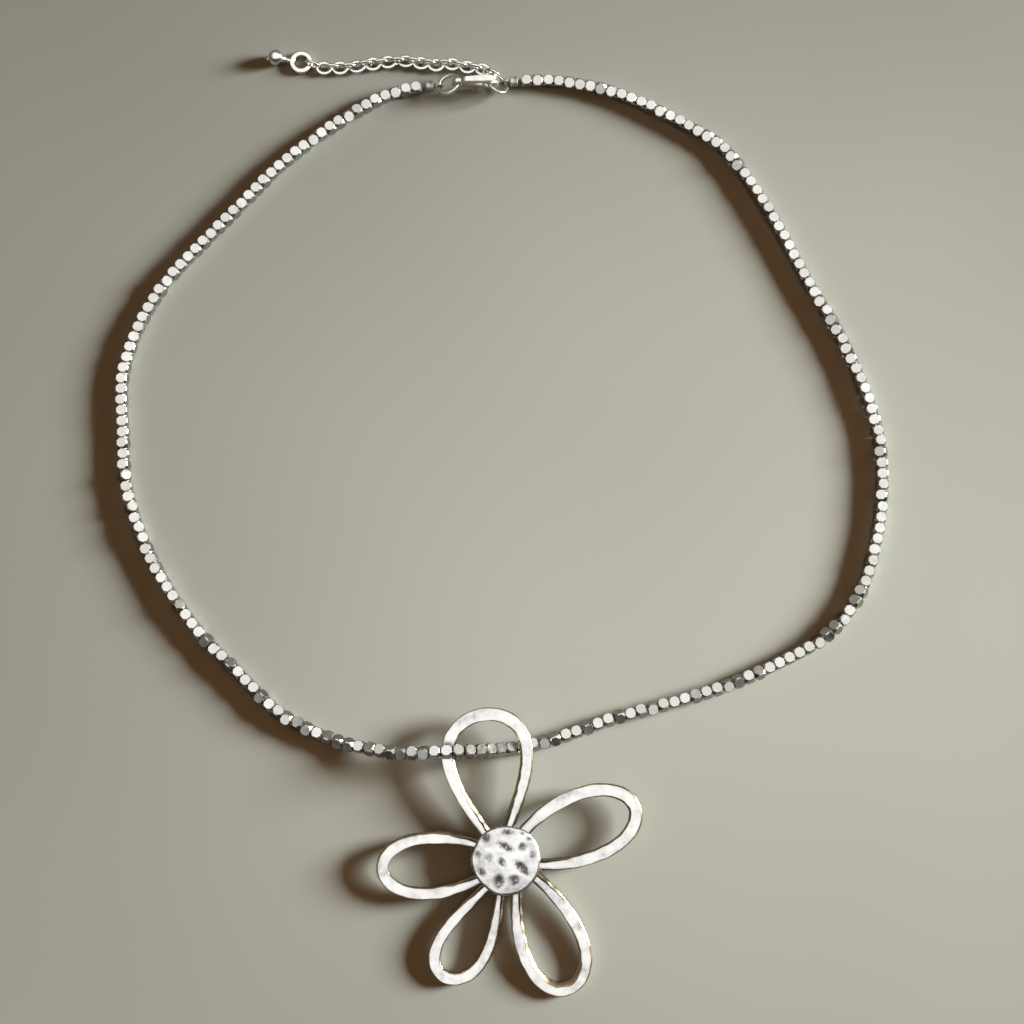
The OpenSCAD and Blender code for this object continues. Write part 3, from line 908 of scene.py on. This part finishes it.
# a squeezed tube, a little flatter in its middle, along its own x
def crimpTube(way):
    r = crimps["tube"] / 2
    middle = way * crimps["length"] / 2
    # distances along it, and parts of its radius
    profile = [(0.0, 0.62), (0.02, 0.86), (0.10, 0.97), (0.3, 1.0), (0.5, 0.96), (0.75, 0.93),
               (1.0, 0.96), (1.2, 1.0), (1.40, 0.97), (1.48, 0.86), (1.5, 0.62)]
    verts, faces = lathe([(way * x, r * part) for x, part in profile], sides=28)

    def flatness(x):
        return 1 - crimps["squeeze"] * math.exp(-((x - middle) / crimps["squeezeReach"]) ** 2)

    return [(x, y, z * flatness(x)) for x, y, z in verts], faces


def makeCrimps():
    for side in ("left", "right"):
        crimp = crimps[side]
        tube = moved(crimpTube(crimp["way"]), Matrix.Translation(crimp["at"]))
        loop = moved(ringShape(crimps["loop"], crimps["wire"], sides=12, count=40),
                     Matrix.Translation(crimp["loopAt"]) @ turnAbout(90, "X"))
        verts, faces = joinShapes([tube, loop])
        piece = meshPiece(side + "_crimp_and_loop", verts, faces, crimpMetal)
        sharpen(piece, degrees=50)
        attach(piece, "necklace")
        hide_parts(side + "_crimp")


# the part's own solid with its edges worn round, as a casting's are
def castPiece(solid, name, body):
    piece = linked(name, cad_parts[solid].data.copy())
    remesh = piece.modifiers.new("remesh", "REMESH")
    remesh.mode = "VOXEL"
    remesh.voxel_size = clasp["voxel"]
    data = plainMesh(piece, name)
    piece.data = data
    shape = bmesh.new()
    shape.from_mesh(data)
    for _ in range(clasp["smoothing"]):
        bmesh.ops.smooth_vert(shape, verts=shape.verts, factor=0.5,
                              use_axis_x=True, use_axis_y=True, use_axis_z=True)
    for vert in shape.verts:
        # the casting is thinner at its heel than at its nose, and the lever follows it
        part = (vert.co.x / mm - clasp["x"] - clasp["slimFrom"]) / clasp["slimOver"]
        part = min(max(part, 0), 1)
        slim = clasp["heelSlim"] + (clasp["noseSlim"] - clasp["heelSlim"]) * part * part * (3 - 2 * part)
        vert.co.y = clasp["y"] * mm + (vert.co.y - clasp["y"] * mm) * slim
    shape.to_mesh(data)
    shape.free()
    data.materials.clear()
    data.materials.append(fittingMetal)
    data.polygons.foreach_set("use_smooth", [True] * len(data.polygons))
    outward(piece)
    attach(piece, body)
    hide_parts(solid)
    return piece


makeRings()
makeCrimps()
claw = castPiece("clasp_body", "claw", "necklace")
lever = castPiece("clasp_lever", "lever_and_tab", "lever")
print("clasp made, faces", len(claw.data.polygons) + len(lever.data.polygons))


# The extender chain and its end drop

chain = {
    "length": 3.3, "width": 2.66, "wire": 0.66, "flatten": 0.82,
    "flatHeight": 0.85, "standHeight": 1.05,
    "flatLean": 2, "standLean": 80, "leanSpread": 8,     # degrees about the chain
    "rings": 32, "sides": 12, "squareness": 0.75,
    "seed": 3,
}
# the middles of the links that lie face up, and the first and last standing ones
faceLinks = [
    (-33.7, 84.1), (-30.6, 84.1), (-27.35, 84.4), (-24.3, 84.9), (-21.4, 85.3), (-18.0, 85.5),
    (-15.1, 85.1), (-12.2, 84.7), (-9.1, 84.9), (-6.2, 84.3), (-3.2, 83.8),
]
firstLink, lastLink = (-35.85, 84.75), (-1.35, 82.9)
endDrop = {
    "ringAt": (-38.1, 85.4, 0.55), "ring": 1.75, "ringWire": 1.1, "ringFlatten": 0.96,
    "ballAt": (-42.9, 86, 1.5), "ball": 1.5,
    "nubAt": (-44.4, 85.7, 1.4), "nub": 0.3,
    # distance and radius, first from the middle of the ring's wire, then back from the ball's middle
    "neck": ((0, 0.42), (0.25, 0.46), (0.6, 0.5)),
    "collar": ((1.75, 0.62), (1.5, 0.78), (1.3, 0.86), (1.1, 0.8)),
}


# one oval link, lying flat, with its length along x
def linkShape():
    wire = chain["wire"]
    a = (chain["length"] - wire) / 2
    b = (chain["width"] - wire) / 2
    path = [Vector((a * math.cos(t), b * math.sin(t), 0)) for t in turnsRound(chain["rings"])]
    outline = roundOutline(wire / 2, chain["sides"], chain["squareness"])
    outline = [(x, z * chain["flatten"]) for x, z in outline]
    verts, faces = sweep(path, [outline] * len(path), closed=True)
    return meshPiece("link", verts, faces, fittingMetal)


def chainTree(numbers):
    tree, start, end = startTree("joinLinks", [
        ("Link", "Object"), ("Metal", "Material"), ("Seed", "Int"),
        *((label, "Float") for label in numbers)])
    get = start.outputs
    curve = node(tree, "GeometryNodeMeshToCurve", Mesh=get["Geometry"])
    tangent = node(tree, "GeometryNodeInputTangent")
    index = node(tree, "GeometryNodeInputIndex")
    lying = maths(tree, "MODULO", index.outputs[0], 2.0)      # standing links come first
    upright = standUp(tree, tangent.outputs[0])
    lean = maths(tree, "ADD", choose(tree, lying, get["Flat Lean"], get["Stand Lean"]),
                 eitherWay(tree, get["Lean Spread"], get["Seed"], 0))
    turned = turnOwn(tree, upright, node(tree, "ShaderNodeCombineXYZ", X=lean).outputs[0])
    lift = node(tree, "ShaderNodeCombineXYZ", Z=choose(tree, lying, 0.0, get["Stand Lift"]))
    raised = node(tree, "GeometryNodeSetPosition", Geometry=curve.outputs[0], Offset=lift.outputs[0])
    placed = copyOnto(tree, raised.outputs[0], get["Link"], turned)
    real = node(tree, "GeometryNodeRealizeInstances", Geometry=placed)
    endTree(tree, end, real.outputs[0], get["Metal"])
    return tree


def makeChain():
    z = chain["flatHeight"]
    places = [(*firstLink, z)]
    for k, (x, y) in enumerate(faceLinks):
        places.append((x, y, z))
        if k < len(faceLinks) - 1:
            nx, ny = faceLinks[k + 1]
            places.append(((x + nx) / 2, (y + ny) / 2, z))
    places.append((*lastLink, z))
    link = linkShape()
    numbers = {
        "Flat Lean": math.radians(chain["flatLean"]), "Stand Lean": math.radians(chain["standLean"]),
        "Lean Spread": math.radians(chain["leanSpread"]), "Stand Lift": (chain["standHeight"] - z) * mm,
    }
    piece = runTree(routePiece("chainRoute", places), chainTree(numbers), {
        "Link": link, "Metal": fittingMetal, "Seed": chain["seed"], **numbers}, "chain_links")
    bpy.data.objects.remove(link)
    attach(piece, "necklace")
    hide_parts("extender_chain")
    print("chain joined, links", len(places))


# its poles are closed by a tiny flat
def ballShape(r, rows, sides, flat):
    turns = [math.pi * k / rows for k in range(rows + 1)]
    return lathe([(-r * math.cos(t), max(r * math.sin(t), flat)) for t in turns], sides)


def makeEndDrop():
    ringAt = Vector(endDrop["ringAt"])
    ballAt = Vector(endDrop["ballAt"])
    ring = moved(ringShape(endDrop["ring"], endDrop["ringWire"], sides=20, count=80,
                           flatten=endDrop["ringFlatten"]), Matrix.Translation(ringAt))
    way = Vector((ballAt.x - ringAt.x, ballAt.y - ringAt.y, 0)).normalized()
    neckStart = ringAt + endDrop["ring"] * way
    line = ballAt - neckStart
    turned = line.to_track_quat("X", "Z").to_matrix().to_4x4()
    profile = list(endDrop["neck"]) + [(line.length - back, r) for back, r in endDrop["collar"]]
    neck = moved(lathe(profile, sides=32), Matrix.Translation(neckStart) @ turned)
    ball = moved(ballShape(endDrop["ball"], rows=28, sides=44, flat=0.02),
                 Matrix.Translation(ballAt) @ turned)
    nub = moved(ballShape(endDrop["nub"], rows=10, sides=16, flat=0.01),
                Matrix.Translation(endDrop["nubAt"]))
    verts, faces = joinShapes([ring, neck, ball, nub])
    piece = meshPiece("end_ring_and_ball", verts, faces, fittingMetal)
    sharpen(piece, degrees=50)
    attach(piece, "necklace")
    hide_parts("end_drop")
    print("end drop made")


makeChain()
makeEndDrop()


# The surface, the light and the camera

studio = {
    "floorColour": (0.50, 0.50, 0.47),
    "floorReach": 360, "floorSides": 96,
    "floorGrain": (0.93, 1.06),          # the tones that the grain goes between
    # a painted pool of light on the floor: how much paler or darker it is, and where
    "floorFront": (1.15, 0.85),          # in front and behind, over this distance from the middle
    "frontReach": 0.22,
    "floorMiddle": (1.07, 0.84),         # in the middle and round it, and over which distances
    "middleAt": (0.03, 0, 0), "middleReach": (0.02, 0.13),
    "eye": (2.4, -42.0, 273.5), "target": (2.4, -1.9, 0),
    "focal": 1500, "picture": 1024,      # in pixels
    "sensor": 36,
    "window": {"aim": (0.03, -0.05, 0), "away": 1.25, "turn": 14, "height": 17, "size": (0.42, 0.34),
               "power": 3.05, "colour": (0.94, 1, 0.935), "spread": 44},
    "overhead": {"at": (0.3, 0.12, 0.95), "size": (2.1, 1.76), "power": 10.2, "colour": (1, 0.99, 0.975)},
    "backdrop": (0.40, 0.39, 0.36),
    "roomGlow": (0.139, 0.070, 0.025),
    "mirroredFront": (0.050, 0.042, 0.031), "mirroredBack": (0.20, 0.165, 0.12),
    "mirroredSky": (0.62, 0.615, 0.595),
    "skyFrom": 0.3, "skyTo": 0.76,       # the heights between which what is mirrored turns to sky
    "darkFrom": -0.85, "darkTo": -0.25,  # and how far to the front it is darker
    "skyInFront": 0.1,                   # how much of the sky is left there
}


def makeFloor():
    reach = studio["floorReach"]
    verts = [(reach * math.cos(t), reach * math.sin(t), 0) for t in turnsRound(studio["floorSides"])]
    material, tree, shader = newTree("paleSurface")
    coords = tree.nodes.new("ShaderNodeTexCoord").outputs["Object"]
    tones = [tuple(c * part for c in studio["floorColour"]) for part in studio["floorGrain"]]
    tone = ramp(tree, grain(tree, coords, scale=14, detail=1), list(enumerate(tones)))
    # painted light: a little paler in front and in the middle, as a pool of light on the floor
    place = node(tree, "ShaderNodeSeparateXYZ", Vector=coords)
    forward = spread(tree, place.outputs["Y"], -studio["frontReach"], studio["frontReach"],
                     *studio["floorFront"], "SMOOTHSTEP")
    away = node(tree, "ShaderNodeVectorMath", {"operation": "DISTANCE"}, Vector=coords)
    away.inputs[1].default_value = studio["middleAt"]
    central = spread(tree, away.outputs["Value"], *studio["middleReach"],
                     *studio["floorMiddle"], "SMOOTHSTEP")
    paintedPool = node(tree, "ShaderNodeVectorMath", {"operation": "SCALE"}, Vector=tone,
                 Scale=maths(tree, "MULTIPLY", forward, central))
    tree.links.new(paintedPool.outputs["Vector"], shader.inputs["Base Color"])
    shader.inputs["Roughness"].default_value = 0.85
    shader.inputs["Specular IOR Level"].default_value = 0.1
    floor = meshPiece("surface", verts, [tuple(range(len(verts)))], material, smooth=False)


def makeLight(name, place, target, look):
    data = bpy.data.lights.new(name, "AREA")
    data.shape = "RECTANGLE"
    data.size, data.size_y = look["size"]
    data.energy = look["power"]
    data.color = look["colour"]
    lamp = linked(name, data)
    lamp.location = place
    lamp.rotation_mode = "QUATERNION"
    lamp.rotation_quaternion = (Vector(target) - Vector(place)).to_track_quat("-Z", "Y")
    return lamp


# a dim room: warm where it fills the shadows, and what the metal mirrors is darker in front
def makeRoom():
    world = bpy.data.worlds.new("room")
    world.use_nodes = True
    tree = world.node_tree
    ray = tree.nodes.new("ShaderNodeLightPath")
    coords = tree.nodes.new("ShaderNodeTexCoord")
    way = node(tree, "ShaderNodeSeparateXYZ", Vector=coords.outputs["Generated"])
    back = spread(tree, way.outputs["Y"], -0.5, 0.5)
    low = blendColour(tree, back, studio["mirroredFront"], studio["mirroredBack"])
    height = spread(tree, way.outputs["Z"], studio["skyFrom"], studio["skyTo"])
    openSide = spread(tree, way.outputs["Y"], studio["darkFrom"], studio["darkTo"], studio["skyInFront"])
    mirrored = blendColour(tree, maths(tree, "MULTIPLY", height, openSide), low, studio["mirroredSky"])
    seen = blendColour(tree, ray.outputs["Is Camera Ray"], studio["roomGlow"], studio["backdrop"])
    colour = blendColour(tree, ray.outputs["Is Glossy Ray"], seen, mirrored)
    tree.links.new(colour, tree.nodes["Background"].inputs["Color"])
    scene.world = world


def makeStudio():
    makeFloor()
    look = studio["window"]
    turn = math.radians(look["turn"])
    height = math.radians(look["height"])
    aim = Vector(look["aim"])
    way = Vector((math.cos(turn) * math.cos(height), math.sin(turn) * math.cos(height), math.sin(height)))
    window = makeLight("window", aim + look["away"] * way, aim, look)
    window.data.spread = math.radians(look["spread"])
    look = studio["overhead"]
    at = Vector(look["at"])
    panel = makeLight("overhead", at, (at.x, at.y, 0), look)
    panel.visible_diffuse = False        # it is only mirrored in the metal
    makeRoom()
    scene.view_settings.view_transform = "Standard"
    lens = bpy.data.cameras.new("camera")
    lens.sensor_width = studio["sensor"]
    lens.lens = studio["focal"] * studio["sensor"] / studio["picture"]
    lens.clip_start = 0.01
    lens.clip_end = 20
    camera = linked("camera", lens)
    eye = Vector(studio["eye"]) * mm
    target = Vector(studio["target"]) * mm
    camera.location = eye
    camera.rotation_mode = "QUATERNION"
    camera.rotation_quaternion = (target - eye).to_track_quat("-Z", "Y")
    scene.camera = camera


makeStudio()
print("studio made")
